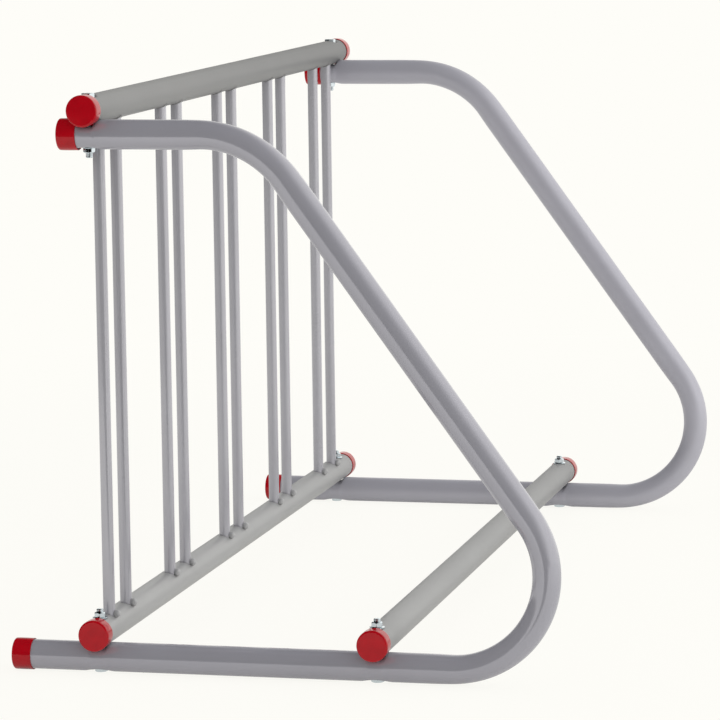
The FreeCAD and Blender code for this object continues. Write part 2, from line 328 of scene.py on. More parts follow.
# Some parts are set a shade apart from their twins to paint in light and shade. The right hoop is set lighter
# than the left: painted light for the stronger light that falls on it. The top rail is set darker than the
# floor rails, and the head welds share its coat: painted shade for the weaker light overhead. The rear floor
# rail is set lighter and the front one darker: painted light and painted shade that even out how the lamps
# fall on them. The foot welds are set paler than the rail under them: painted light that lifts the shade in
# the corners at the bars' feet.
class RackFinish(PropertyGroup):
    """Colours of the rack."""
    left_hoop_colour: colour_setting("Left hoop", "Powder coat of the left hoop", "#a5a4ac")
    # Painted light: a shade lighter than the left hoop
    right_hoop_colour: colour_setting("Right hoop", "Powder coat of the right hoop", "#aeadb6")
    # Painted shade: darker than the floor rails
    top_rail_colour: colour_setting("Top rail", "Powder coat of the top rail", "#757575")
    # Painted light: lighter than the front floor rail
    rear_floor_rail_colour: colour_setting("Rear floor rail", "Powder coat of the rear rail", "#a1a1a1")
    # Painted shade: darker than the rear floor rail
    front_floor_rail_colour: colour_setting("Front floor rail", "Powder coat of the front rail", "#929292")
    # Painted light: paler than the rail, against the shade in the corners
    foot_weld_colour: colour_setting("Foot welds", "Powder coat of the beads at the bars' feet", "#aaaaab")
    bar_colour: colour_setting("Bars", "Powder coat of the bars", "#afaeb4")
    cap_colour: colour_setting("Caps", "Vinyl of the caps", "#ad0918")
    zinc_colour: colour_setting("Fasteners", "Zinc plate of the bolts and nuts", "#d3dce2")


class RackStudio(PropertyGroup):
    """Background and light."""
    backdrop_colour: colour_setting("Backdrop", "Floor and background", "#fefdf8")
    daylight: FloatProperty(name="Soft light", description="Strength of the even light from all round",
                            default=0.8, min=0)
    softbox_power: FloatProperty(name="Softbox", description="Power of the large soft lamp", default=55,
                                 min=0, unit="POWER")


# Where the CAD frame puts things

def middle(node):
    """The middle of a CAD node's box, as an array."""
    low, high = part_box(node)
    return np.array((low + high) / 2)


def tube_radius():
    """Half of the tube's diameter."""
    return bpy.context.scene.rack_tubes.tube_diameter / 2


def rail_line(rail):
    """A rail's left and right end and the Y and Z of its middle line, from its plain front and underside."""
    low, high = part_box(rail + "_rail")
    return low.x, high.x, low.y + tube_radius(), low.z + tube_radius()


def hoop_heights():
    """The heights of the middle of the hoops' floor runs and upper runs."""
    low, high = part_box("left_hoop")
    return tube_radius() + low.z, high.z - tube_radius()


def top_run_end(hoop):
    """The Y where a hoop's upper run ends inside its cap."""
    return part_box(hoop.replace("hoop", "hoop_top_cap"))[1].y - bpy.context.scene.rack_caps.wall


def joint_places():
    """For each bolted joint: its rail, hoop, X, Y, and the heights of the bolt head's and the nut's seat."""
    joints = []
    sizes = bpy.context.scene.rack_fasteners
    floor_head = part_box("floor_bolts")[0].z + sizes.head_height
    floor_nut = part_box("floor_nuts")[0].z
    top_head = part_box("top_bolts")[1].z - sizes.head_height
    top_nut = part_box("top_nuts")[1].z
    for side in SIDES:
        x = middle(side + "_hoop")[0]
        for rail in RAILS:
            seats = (top_head, top_nut) if rail == "top" else (floor_head, floor_nut)
            joints.append((rail, side, x, rail_line(rail)[2], *seats))
    return joints


# Pressed tubes

# Points round a tube and round a bar
TUBE_COLUMNS, BAR_COLUMNS = 96, 64
# Steps along a hoop, along a rail and near a joint, and how far from a joint the fine steps reach
HOOP_STEP, RAIL_STEP, FINE_STEP = 12 * MM, 40 * MM, 1.4 * MM
HOOP_REACH, RAIL_REACH = 38 * MM, 26 * MM
# Rings in a hoop's two bends, and half of the length over which a bend's flattening fades
FLOOR_BEND_RINGS, TOP_BEND_RINGS, BEND_FADE = 72, 40, 30 * MM
# A seat's rim: its rise, its rounding, how far it looks for the tube, and its reach past nut and head
SEAT_RISE, SEAT_ROUNDING, SEAT_SEARCH = 0.5, 2 * MM, 9 * MM
FLANGE_MARGIN, HEAD_MARGIN = 0.4 * MM, 0.3 * MM
# Half of a saddle's level length, its gap under the rail, its rounding, and how much it widens the tube
SADDLE_LEVEL, SADDLE_GAP, SADDLE_ROUNDING, SADDLE_WIDENING = 6 * MM, 0.1 * MM, 0.6 * MM, 0.06


def press_fastener(points, joint, outward):
    """Presses the seat of a joint's bolt head or nut into a tube, outward being 1 on top of a rail and -1
    under a hoop. Nuts lie on top of the floor rails and under the hoops' upper runs. Within its radius the
    surface lies at the seat's height, and beyond it comes back along a cone, rounded where that ends."""
    rail, _, x, y, seat, nut = joint
    sizes = bpy.context.scene.rack_fasteners
    radius = sizes.head_width / math.sqrt(3) + HEAD_MARGIN
    if (rail == "top") == (outward < 0):
        seat, radius = nut, sizes.flange_diameter / 2 + FLANGE_MARGIN
    away = np.hypot(points[..., 0] - x, points[..., 1] - y)
    limit = seat + outward * SEAT_RISE * np.maximum(away - radius, 0)
    height = points[..., 2]
    pick = lesser if outward > 0 else greater
    near = np.abs(height - seat) < SEAT_SEARCH
    points[..., 2] = np.where(near, pick(height, limit, SEAT_ROUNDING), height)


def press_saddle(points, line_y, line_z, tube_z, reach):
    """Presses a saddle into a hoop where a rail crosses it. The side towards the rail sinks along the hoop
    as a raised cosine over the reach, most at the crown and not at all at the sides, and stays a hair
    below the rail's own round. Returns the share of the sinking at each point."""
    radius = tube_radius()
    side = math.copysign(1, line_z - tube_z)
    along = np.abs(points[..., 1] - line_y)
    sink = 2 * radius - abs(line_z - tube_z)
    bell = (1 + np.cos(math.pi * eased((along - SADDLE_LEVEL) / reach))) / 2
    crown = np.clip(side * (points[..., 2] - tube_z) / radius, 0, 1)
    near = (np.abs(points[..., 2] - tube_z) < 1.5 * radius) & (along < reach + 10 * MM)
    lowered = side * points[..., 2] - sink * bell * crown ** 1.5
    rail_side = side * line_z - np.sqrt(np.maximum(radius ** 2 - along ** 2, 0)) - SADDLE_GAP
    pressed = np.where(along < radius, lesser(lowered, rail_side, SADDLE_ROUNDING), lowered)
    points[..., 2] = np.where(near, side * pressed, points[..., 2])
    return bell * near


def hoop_path(places, lengths, curvatures, start, heading):
    """Points and headings along runs and bends laid end to end. In a run the point moves straight along its
    heading. In a bend the heading changes by the curvature times the distance, and the point moves by
    the difference of sines and cosines of the heading over the curvature."""
    ends = np.concatenate([[0], np.cumsum(lengths)])
    headings = heading + np.concatenate([[0], np.cumsum(np.multiply(lengths, curvatures))])
    corners = [np.array(start, float)]
    for length, curvature, angle in zip(lengths, curvatures, headings):
        corners.append(corners[-1] + arc_step(length, curvature, angle))
    piece = np.clip(np.searchsorted(ends, places, side="right") - 1, 0, len(lengths) - 1)
    ahead = places - ends[piece]
    curvature = np.array(curvatures)[piece]
    return (np.array(corners)[piece] + arc_step(ahead, curvature, headings[piece]),
            headings[piece] + curvature * ahead)


def arc_step(distance, curvature, angle):
    """The move along an arc from its start, or along a straight where the curvature is nearly nothing."""
    bend = np.where(np.abs(curvature) < 1e-9, 1e-9, curvature)
    turned = angle + bend * distance
    return np.stack([(np.sin(turned) - np.sin(angle)) / bend, (np.cos(angle) - np.cos(turned)) / bend], -1)


def hoop_lengths(node):
    """Lengths and curvatures of a hoop's floor run, floor bend, slope, top bend and upper run."""
    tubes = bpy.context.scene.rack_tubes
    low_z, high_z = hoop_heights()
    low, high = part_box(node)
    front = low.y + tube_radius() + tubes.floor_bend
    floor_run = high.y - front
    turn = math.pi - tubes.slope
    rise = high_z - low_z - tubes.floor_bend * (1 + math.cos(tubes.slope))
    rise -= tubes.top_bend * (1 - math.cos(tubes.slope))
    slope_run = rise / math.sin(tubes.slope)
    back = (tubes.top_bend - tubes.floor_bend) * math.sin(tubes.slope) + slope_run * math.cos(tubes.slope)
    top_run = top_run_end(node) - front - back
    lengths = [floor_run, tubes.floor_bend * turn, slope_run, tubes.top_bend * tubes.slope, top_run]
    return lengths, [0, -1 / tubes.floor_bend, 0, -1 / tubes.top_bend, 0]


def bend_share(places, start, end):
    """1 within a bend and 0 outside it, with an s-curve over both of its ends."""
    entered = eased((places - start + BEND_FADE) / (2 * BEND_FADE))
    return entered * eased((end + BEND_FADE - places) / (2 * BEND_FADE))


def hoop_rings(node):
    """A hoop's surface: a circle of the tube's radius carried along the path. In the bends it is flatter
    within the hoop's plane and half as much wider across it. Then the rails' saddles and the seats of
    bolt heads and nuts are pressed in."""
    tubes = bpy.context.scene.rack_tubes
    radius = tube_radius()
    x = middle(node)[0]
    low_z, high_z = hoop_heights()
    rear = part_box(node)[1].y
    lengths, curvatures = hoop_lengths(node)
    ends = np.cumsum(lengths)
    joints = [joint for joint in joint_places() if node.startswith(joint[1])]
    joint_stations = [ends[-1] - (top_run_end(node) - y) if rail == "top" else rear - y
                      for rail, _, _, y, _, _ in joints]
    places = stations(0, ends[-1], HOOP_STEP, FINE_STEP, joint_stations, HOOP_REACH)
    bends = [np.linspace(ends[0], ends[1], FLOOR_BEND_RINGS), np.linspace(ends[2], ends[3], TOP_BEND_RINGS)]
    places = np.unique(np.concatenate([places, *bends]).round(5))
    path, heading = hoop_path(places, lengths, curvatures, (rear, low_z), math.pi)
    bent = bend_share(places, ends[0], ends[1]) + bend_share(places, ends[2], ends[3])
    angle = full_turn(TUBE_COLUMNS)
    in_plane = radius * (1 - tubes.flattening * bent)[:, None] * np.sin(angle)
    across = radius * (1 + 0.5 * tubes.flattening * bent)[:, None] * np.cos(angle)
    points = np.empty((len(places), len(angle), 3))
    points[..., 0] = x + across
    points[..., 1] = path[:, 0, None] - np.sin(heading)[:, None] * in_plane
    points[..., 2] = path[:, 1, None] + np.cos(heading)[:, None] * in_plane
    for joint in joints:
        rail, _, _, y, _, _ = joint
        tube_z = high_z if rail == "top" else low_z
        bell = press_saddle(points, y, rail_line(rail)[3], tube_z, tubes.dimple_reach)
        points[..., 0] += (points[..., 0] - x) * SADDLE_WIDENING * bell
        press_fastener(points, joint, -1)
    return points


def rail_rings(rail):
    """A rail's surface: a circle carried along X, with the seats of its nuts or bolt heads pressed in."""
    left, right, y, z = rail_line(rail)
    joints = [joint for joint in joint_places() if joint[0] == rail]
    places = stations(left, right, RAIL_STEP, FINE_STEP, [joint[2] for joint in joints], RAIL_REACH)
    angle = full_turn(TUBE_COLUMNS)
    points = np.empty((len(places), len(angle), 3))
    points[..., 0] = places[:, None]
    points[..., 1] = y + tube_radius() * np.cos(angle)
    points[..., 2] = z + tube_radius() * np.sin(angle)
    for joint in joints:
        press_fastener(points, joint, 1)
    return points


def bar_rings(node):
    """A bar's surface: a circle carried upward. It draws in by 0.5 mm towards its ends, which run 0.6 mm
    into the rails' rounds."""
    low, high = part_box(node)
    radius = bpy.context.scene.rack_tubes.bar_diameter / 2
    x, y = (low.x + high.x) / 2, (low.y + high.y) / 2
    angle = full_turn(BAR_COLUMNS)
    off_line = y + radius * np.sin(angle) - rail_line("top")[2]
    round_rise = np.sqrt(tube_radius() ** 2 - off_line ** 2) - 0.6 * MM
    foot = rail_line("rear_floor")[3] + round_rise
    head = rail_line("top")[3] - round_rise
    near_end = np.array([0, 0.7, 1.3, 2.0, 3.0]) * MM
    drawn_in = np.array([0.5, 0.45, 0.15, 0.03, 0]) * MM
    share = np.linspace(0, 1, 7)[1:-1, None]
    heights = np.concatenate([foot + near_end[:, None], foot * (1 - share) + head * share,
                              head - near_end[::-1, None]])
    reach = radius - np.concatenate([drawn_in, np.zeros(len(share)), drawn_in[::-1]])[:, None]
    return np.stack([x + reach * np.cos(angle), y + reach * np.sin(angle), heights], -1)


# Welds

def foot_weld_shell(x, seed):
    """The bead in front of a bar's foot: a ball, a little narrower than deep and tall. Ripples run across it
    like pushed-over coins, and small lumps differ from bead to bead."""
    low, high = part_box("foot_welds")
    radius = 5.8 * MM
    centre = np.array([x, low.y + radius, high.z - radius])
    polar = np.linspace(0.1, math.pi - 0.1, 19)[:, None]
    turn = full_turn(32)[None]
    jitter = np.random.default_rng(seed).uniform(-1, 1, 6)
    ripple = 1 + 0.02 * np.sin(7 * polar + 3 * jitter[0]) * np.sin(polar)
    ripple = ripple * (1 + 0.03 * np.sin(2 * turn + 3 * jitter[1]) + 0.02 * np.sin(3 * turn + 3 * jitter[2]))
    wide = (0.92 + 0.05 * jitter[3]) * radius * ripple * np.cos(polar)
    deep = (0.97 + 0.03 * jitter[4]) * radius * ripple * np.sin(polar) * np.cos(turn)
    tall = (1.0 + 0.03 * jitter[5]) * radius * ripple * np.sin(polar) * np.sin(turn)
    return centre + np.stack([wide, deep, tall], -1)


def head_weld_shell(x, seed):
    """The fine ring of weld round a bar's head: a small circle carried round the bar along the rail's
    underside. It is thicker in front, 1.9 mm against 0.9 mm behind, and swells and thins in small waves."""
    _, _, y, z = rail_line("top")
    bar_y = middle(BAR_NODES[0])[1]
    bar_radius = bpy.context.scene.rack_tubes.bar_diameter / 2
    turn = full_turn(72)[:, None]
    around = full_turn(14)[None]
    jitter = np.random.default_rng(seed).uniform(-1, 1, 2)
    waves = 1 + 0.12 * np.sin(9 * turn + 3 * jitter[0]) + 0.08 * np.sin(4 * turn + 3 * jitter[1])
    size = (1.4 * MM - 0.5 * MM * np.sin(turn)) * waves
    ring_y = bar_y + bar_radius * np.sin(turn)
    ring_z = z - np.sqrt(tube_radius() ** 2 - (ring_y - y) ** 2)
    reach = bar_radius + size * np.cos(around)
    return np.stack([x + reach * np.cos(turn), bar_y + reach * np.sin(turn),
                     ring_z + size * np.sin(around)], -1)


# Caps

CAP_COLUMNS = 72
FACE_BULGE, SIDE_SWELL = 0.35 * MM, 0.15 * MM


def cap_rings(face, outward, length, radius):
    """A dipped cap as a profile swung about the tube's line: the face bulges a little and rounds over into
    the side, which swells a little, ends in a rounded lip and turns back along the inside."""
    sizes = bpy.context.scene.rack_caps
    edge, wall = sizes.edge_radius, sizes.wall
    flat = np.linspace(0.06, 1, 9) * (radius - edge)
    corner = np.linspace(0, math.pi / 2, 9)[1:]
    run = np.linspace(edge, length - wall / 2, 12)[1:]
    lip = np.linspace(0, math.pi, 9)
    inner = np.linspace(length - wall / 2, wall, 4)[1:]
    inside = np.linspace(radius - wall, 0.5 * MM, 3)
    swell = SIDE_SWELL * np.sin(math.pi * (run - edge) / (length - edge))
    bulge = FACE_BULGE * (1 - (flat / (radius - edge)) ** 2)
    reach = np.concatenate([flat, radius - edge + edge * np.sin(corner), radius + swell,
                            radius - wall / 2 + wall / 2 * np.cos(lip), np.full(3, radius - wall), inside])
    depth = np.concatenate([-bulge, edge - edge * np.cos(corner), run,
                            length - wall / 2 + wall / 2 * np.sin(lip), inner, np.full(3, wall)])
    angle = full_turn(CAP_COLUMNS)[None, :, None]
    inward = -np.array(outward, float)
    first = np.cross(inward, (0, 0, 1.0))
    second = np.cross(inward, first)
    return (np.array(face) + depth[:, None, None] * inward
            + reach[:, None, None] * (np.cos(angle) * first + np.sin(angle) * second))


# Bolts and nuts

BOLT_COLUMNS, NUT_COLUMNS = 72, 144
# The power of the norm that draws a hexagon: the higher, the sharper its corners
HEXAGON_POWER = 40
# Rings of a thread in each pitch, its depth, how much of the bolt it takes up, and how it starts and ends
THREAD_RINGS, THREAD_DEPTH, THREAD_LENGTH = 8, 0.25 * MM, 22 * MM
THREAD_START, THREAD_RUNOUT, TIP_CHAMFER = 2 * MM, 5 * MM, 1.2 * MM
# The radius of a head's and a nut's top face, how steep their chamfers are, and the dish in a head's face
HEAD_FACE_SHARE, HEAD_CHAMFER, HEAD_DISH = 0.48, 0.58, 0.25 * MM
NUT_FACE, NUT_CHAMFER = 6.6 * MM, 0.9
# Thickness of a flange at its edge, how steeply it rises to the hexagon, and its rounding
FLANGE_EDGE, FLANGE_RISE, FLANGE_ROUNDING = 1.4 * MM, 0.3, 0.3 * MM


def hexagon_reach(angle, width, turn):
    """How far a hexagon with slightly rounded corners reaches at an angle: half its width over a high norm
    of the cosines of the angles to its flats."""
    flats = turn + math.pi / 6 + np.arange(3)[:, None] * math.pi / 3
    return width / 2 / (np.cos(angle - flats) ** HEXAGON_POWER).sum(0) ** (1 / HEXAGON_POWER)


def chamfered_hexagon(reach, top, face, steepness, bottom):
    """Reach and height of a hexagon's rings from the edge of its top face to its foot. The top is cut by a
    cone about the middle that falls by the steepness for each step outward from the face's edge, and so
    meets each side along an arc that sinks towards the corners."""
    sink = (reach - face) * steepness
    share = np.linspace(0, 1, 5)[:, None]
    cone = (face + (reach - face) * share, top - sink * share)
    sides = (np.broadcast_to(reach, (4, len(reach))), (top - sink) * (1 - share[1:]) + bottom * share[1:])
    return np.concatenate([cone[0], sides[0]]), np.concatenate([cone[1], sides[1]])


def turned(reach, height, angle, place, seat, upward):
    """Rings about an upright line from their reach and height, set on a seat and turned over if need be."""
    points = np.empty((*reach.shape, 3))
    points[..., 0] = place[0] + reach * np.cos(angle)
    points[..., 1] = place[1] + reach * np.sin(angle) * upward
    points[..., 2] = seat + upward * height
    return points


def bolt_shell(place, seat, upward, turn):
    """A bolt about its own line. Heights count from under the head, away from it. The head is a chamfered
    hexagon with a slightly dished face, the shank is plain, and its end carries a thread: a groove whose
    depth goes up and down once a pitch and once a turn, and which runs out towards the tip."""
    sizes = bpy.context.scene.rack_fasteners
    angle = turn + full_turn(BOLT_COLUMNS)
    ones = np.ones((1, len(angle)))
    face = HEAD_FACE_SHARE * sizes.head_width
    hexagon = hexagon_reach(angle, sizes.head_width, turn)
    reach, height = chamfered_hexagon(hexagon, sizes.head_height, face, HEAD_CHAMFER, 0)
    height = -height
    dish = np.linspace(0.1, 0.9, 5)[:, None] * face * ones
    sunk = (-sizes.head_height + HEAD_DISH * np.cos(np.linspace(0, math.pi / 2, 5)))[:, None] * ones
    radius = sizes.thread_diameter / 2
    start = sizes.bolt_length - THREAD_LENGTH
    rings = int(THREAD_LENGTH / sizes.thread_pitch * THREAD_RINGS)
    turns = np.linspace(start, sizes.bolt_length, rings)[:, None]
    phase = (turns / sizes.thread_pitch - angle[None] / (2 * math.pi)) % 1
    groove = THREAD_DEPTH * np.abs(2 * phase - 1) * eased((turns - start) / THREAD_START)
    groove = groove * eased((sizes.bolt_length + 1 * MM - turns) / THREAD_RUNOUT)
    taper = np.maximum(turns - (sizes.bolt_length - TIP_CHAMFER), 0)
    thread = radius - np.maximum(groove, taper * ones)
    shank = np.array([radius + 0.01 * MM, radius])[:, None] * ones
    reach = np.concatenate([dish, reach, shank, thread, radius * 0.4 * ones])
    height = np.concatenate([sunk, height, np.array([0.0, start - 1 * MM])[:, None] * ones, turns * ones,
                             sizes.bolt_length * ones])
    return turned(reach, height, angle, place, seat, upward)


def nut_shell(place, seat, upward, turn):
    """A flange nut: a closed ring of rings that go down over its chamfered top and its six sides, out over
    the flange's flat cone, under the flange and back up through the hole."""
    sizes = bpy.context.scene.rack_fasteners
    angle = turn + full_turn(NUT_COLUMNS)
    flange, hole, top = sizes.flange_diameter / 2, sizes.thread_diameter / 2 - 0.2 * MM, sizes.nut_height
    hexagon = hexagon_reach(angle, sizes.nut_width, turn)
    foot = FLANGE_EDGE + FLANGE_RISE * (flange - hexagon)
    reach, height = chamfered_hexagon(hexagon, top, NUT_FACE, NUT_CHAMFER, foot)
    edge = FLANGE_ROUNDING
    rest = np.array([[flange, FLANGE_EDGE], [flange + 0.1 * MM, FLANGE_EDGE - edge], [flange, edge],
                     [flange - edge, 0.0], [hole + edge, 0.0], [hole, edge],
                     [hole, top - 0.9 * MM], [hole + 0.9 * MM, top - 0.1 * MM]])
    reach = np.concatenate([reach, np.repeat(rest[:, :1], len(angle), 1)])
    height = np.concatenate([height, np.repeat(rest[:, 1:], len(angle), 1)])
    return turned(reach, height, angle, place, seat, upward)


# How far each joint's bolt head and nut were turned, in degrees
TURNS = {("left", "rear_floor"): (28.7, 13.0), ("left", "front_floor"): (34.0, 6.0),
         ("right", "rear_floor"): (12.0, 25.0), ("right", "front_floor"): (50.0, -2.0),
         ("left", "top"): (30.0, 20.0), ("right", "top"): (5.0, 44.0)}


# Building steps

class RACK_OT_hoops(Operator):
    """Build both bent tube hoops, flattened in their bends and pressed at their joints"""
    bl_idname = "rack.build_hoops"
    bl_label = "Hoops"

    def execute(self, context):
        for side in SIDES:
            node = side + "_hoop"
            rack_piece(node + "_tube", [hoop_rings(node)], coat_of(node), [node])
        return {"FINISHED"}


class RACK_OT_rails(Operator):
    """Build the top rail and both floor rails"""
    bl_idname = "rack.build_rails"
    bl_label = "Rails"

    def execute(self, context):
        for rail in RAILS:
            node = rail + "_rail"
            rack_piece(node + "_tube", [rail_rings(rail)], coat_of(node), [node])
        return {"FINISHED"}


class RACK_OT_bars(Operator):
    """Build the ten upright wheel bars"""
    bl_idname = "rack.build_bars"
    bl_label = "Wheel bars"

    def execute(self, context):
        for node in BAR_NODES:
            rack_piece(node + "_tube", [bar_rings(node)], coat_of("bar"), [node])
        return {"FINISHED"}


class RACK_OT_welds(Operator):
    """Build the weld beads at the feet and heads of the bars"""
    bl_idname = "rack.build_welds"
    bl_label = "Welds"

    def execute(self, context):
        places = [middle(node)[0] for node in BAR_NODES]
        feet = [foot_weld_shell(x, seed) for seed, x in enumerate(places, 1)]
        heads = [head_weld_shell(x, seed) for seed, x in enumerate(places, 11)]
        rack_piece("foot_welds_beads", feet, coat_of("foot_weld"), ["foot_welds"])
        # The head welds take the top rail's coat, with its painted shade
        rack_piece("head_welds_rings", heads, coat_of("top_rail"), ["head_welds"], joined=True)
        return {"FINISHED"}


class RACK_OT_caps(Operator):
    """Build the ten red vinyl caps on the ends of the hoops and rails"""
    bl_idname = "rack.build_caps"
    bl_label = "Caps"

    def execute(self, context):
        vinyl = dipped_vinyl()
        for side, outward in zip(SIDES, ((-1, 0, 0), (1, 0, 0))):
            for rail in RAILS:
                node = "%s_rail_%s_cap" % (rail, side)
                low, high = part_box(node)
                _, _, y, z = rail_line(rail)
                face = (low.x if side == "left" else high.x, y, z)
                shell = cap_rings(face, outward, high.x - low.x, (high.y - low.y) / 2)
                rack_piece(node + "_skin", [shell], vinyl, [node])
            for end, z in zip(("floor", "top"), hoop_heights()):
                node = "%s_hoop_%s_cap" % (side, end)
                low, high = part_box(node)
                face = (middle(side + "_hoop")[0], high.y, z)
                shell = cap_rings(face, (0, 1, 0), high.y - low.y, z - low.z)
                rack_piece(node + "_skin", [shell], vinyl, [node])
        return {"FINISHED"}


class RACK_OT_fasteners(Operator):
    """Build the bolts with their threads and the flange nuts"""
    bl_idname = "rack.build_fasteners"
    bl_label = "Bolts and nuts"

    def execute(self, context):
        zinc = bright_zinc()
        for group, rails, upward in (("floor", RAILS[1:], 1), ("top", RAILS[:1], -1)):
            bolts, nuts = [], []
            for rail, side, x, y, head, nut in joint_places():
                if rail in rails:
                    turns = [math.radians(turn) for turn in TURNS[side, rail]]
                    bolts.append(bolt_shell((x, y), head, upward, turns[0]))
                    nuts.append(nut_shell((x, y), nut, upward, turns[1]))
            rack_piece(group + "_bolts_threaded", bolts, zinc, [group + "_bolts"], crease=25)
            rack_piece(group + "_nuts_flanged", nuts, zinc, [group + "_nuts"], joined=True,
                       crease=25)
        return {"FINISHED"}


# Stage

CAMERA_PLACE = (-5.77943, -1.32347, 1.17191)
CAMERA_YAW, CAMERA_PITCH, CAMERA_ROLL = 0.2345339, 0.1363356, 0.0137701
CAMERA_LENS = 187.69
LAMP_PLACE, LAMP_TARGET, LAMP_SIZE = Vector((-0.2, -3.6, 1.8)), Vector((0, 0, 0.4)), (3.0, 2.5)
FLOOR_RADIUS, FLAG_RADIUS = 7.0, 9.0
FLAG_AXIS = Vector((-0.57, 0.69, 0.45))
# How much brighter than the camera gloss sees the backdrop
BACKDROP_GLOSS = 1.3


def plain_view(tree, path):
    """1 for what the camera sees straight, by gloss or through glass, and 0 for light on matt surfaces."""
    either = add_node(tree, "ShaderNodeMath", {"operation": "MAXIMUM"},
                      {0: path.outputs["Is Camera Ray"], 1: path.outputs["Is Glossy Ray"]})
    seen = add_node(tree, "ShaderNodeMath", {"operation": "MAXIMUM"},
                    {0: either.outputs["Value"], 1: path.outputs["Is Transmission Ray"]})
    return seen.outputs["Value"]


def backdrop_world(studio):
    """Even soft light from all round. The camera, gloss and glass see the plain backdrop colour instead, and
    gloss sees it brighter than the white that the camera shows."""
    world = bpy.data.worlds.new("studio_air")
    world.use_nodes = True
    tree = world.node_tree
    tree.nodes.clear()
    path = add_node(tree, "ShaderNodeLightPath")
    light = add_node(tree, "ShaderNodeBackground", {"Color": (1, 1, 1, 1), "Strength": studio.daylight})
    bright = add_node(tree, "ShaderNodeMapRange", {"To Min": 1.0, "To Max": BACKDROP_GLOSS},
                      {"Value": path.outputs["Is Glossy Ray"]})
    paper = add_node(tree, "ShaderNodeBackground", {"Color": (*studio.backdrop_colour, 1)},
                     {"Strength": bright.outputs["Result"]})
    mix = add_node(tree, "ShaderNodeMixShader", {},
                   {0: plain_view(tree, path), 1: light.outputs["Background"],
                    2: paper.outputs["Background"]})
    output = tree.nodes.new("ShaderNodeOutputWorld")
    tree.links.new(mix.outputs["Shader"], output.inputs["Surface"])
    return world


def backdrop_paper(studio):
    """Matt white paper on the floor. To the camera it is mostly the backdrop's own colour, with the object's
    shadow kept, and from 1.2 m to 3 m out it fades into the backdrop. Gloss sees it dimmer under the rack,
    and at its full brightness from 1.8 m out: the dimming is painted shade, standing in for the rack's shadow
    on the paper as gloss shows it."""
    material, tree, output = new_material("backdrop_paper")
    place = add_node(tree, "ShaderNodeTexCoord").outputs["Object"]
    away = add_node(tree, "ShaderNodeVectorMath", {"operation": "LENGTH"}, {0: place})
    fade = add_node(tree, "ShaderNodeMapRange",
                    {"From Min": 1.2, "From Max": 3.0, "interpolation_type": "SMOOTHSTEP"},
                    {"Value": away.outputs["Value"]})
    matt = add_node(tree, "ShaderNodeBsdfDiffuse", {"Color": (*studio.backdrop_colour, 1)})
    path = add_node(tree, "ShaderNodeLightPath")
    # Painted shade: gloss sees the paper's glow at 0.8 within 0.9 m of the middle, for the rack's shadow,
    # rising to 1.1 from 1.8 m out
    gloss = add_node(tree, "ShaderNodeMapRange",
                     {"From Min": 0.9, "From Max": 1.8, "To Min": 0.8, "To Max": 1.1},
                     {"Value": away.outputs["Value"]})
    bright = add_node(tree, "ShaderNodeMapRange", {"To Min": 1.0},
                      {"Value": path.outputs["Is Glossy Ray"], "To Max": gloss.outputs["Result"]})
    glow = add_node(tree, "ShaderNodeEmission", {"Color": (*studio.backdrop_colour, 1)},
                    {"Strength": bright.outputs["Result"]})
    share = add_node(tree, "ShaderNodeMapRange", {"To Min": 0.92}, {"Value": fade.outputs["Result"]})
    amount = add_node(tree, "ShaderNodeMath", {"operation": "MULTIPLY"},
                      {0: share.outputs["Result"], 1: plain_view(tree, path)})
    mix = add_node(tree, "ShaderNodeMixShader", {},
                   {0: amount.outputs["Value"], 1: matt.outputs["BSDF"], 2: glow.outputs["Emission"]})
    tree.links.new(mix.outputs["Shader"], output.inputs["Surface"])
    return material


def painted_reflection_cloth(name, measure, dark_at, light_at, most):
    """Sheet that gloss sees as black where a measure of its direction from the rack has one value, and as a
    glowing share of the backdrop where it has another: a painted reflection, dark and pale, not a lamp. The
    measure is the direction's product with a vector."""
    material, tree, output = new_material(name)
    place = add_node(tree, "ShaderNodeTexCoord").outputs["Object"]
    direction = add_node(tree, "ShaderNodeVectorMath", {"operation": "NORMALIZE"}, {0: place})
    along = add_node(tree, "ShaderNodeVectorMath", {"operation": "DOT_PRODUCT", 1: measure},
                     {0: direction.outputs["Vector"]})
    light = add_node(tree, "ShaderNodeMapRange",
                     {"From Min": dark_at, "From Max": light_at, "To Max": most,
                      "interpolation_type": "SMOOTHSTEP"}, {"Value": along.outputs["Value"]})
    colour = bpy.context.scene.rack_studio.backdrop_colour
    glow = add_node(tree, "ShaderNodeEmission", {"Color": (*colour, 1)},
                    {"Strength": light.outputs["Result"]})
    tree.links.new(glow.outputs["Emission"], output.inputs["Surface"])
    return material


def gloss_flag(name, grid, material):
    """A sheet of painted reflection from a grid of points. Only gloss sees it: it throws no shadow and dims
    no light.
    """
    rows, columns = grid.shape[:2]
    row, column = np.mgrid[0:rows - 1, 0:columns - 1]
    corner = row * columns + column
    faces = np.stack([corner, corner + 1, corner + columns + 1, corner + columns], -1).reshape(-1, 4)
    mesh = bpy.data.meshes.new(name)
    mesh.from_pydata(grid.reshape(-1, 3), [], faces.tolist())
    mesh.materials.append(material)
    flag = new_object(name, mesh)
    for ray in ("camera", "diffuse", "transmission", "shadow"):
        setattr(flag, "visible_" + ray, False)


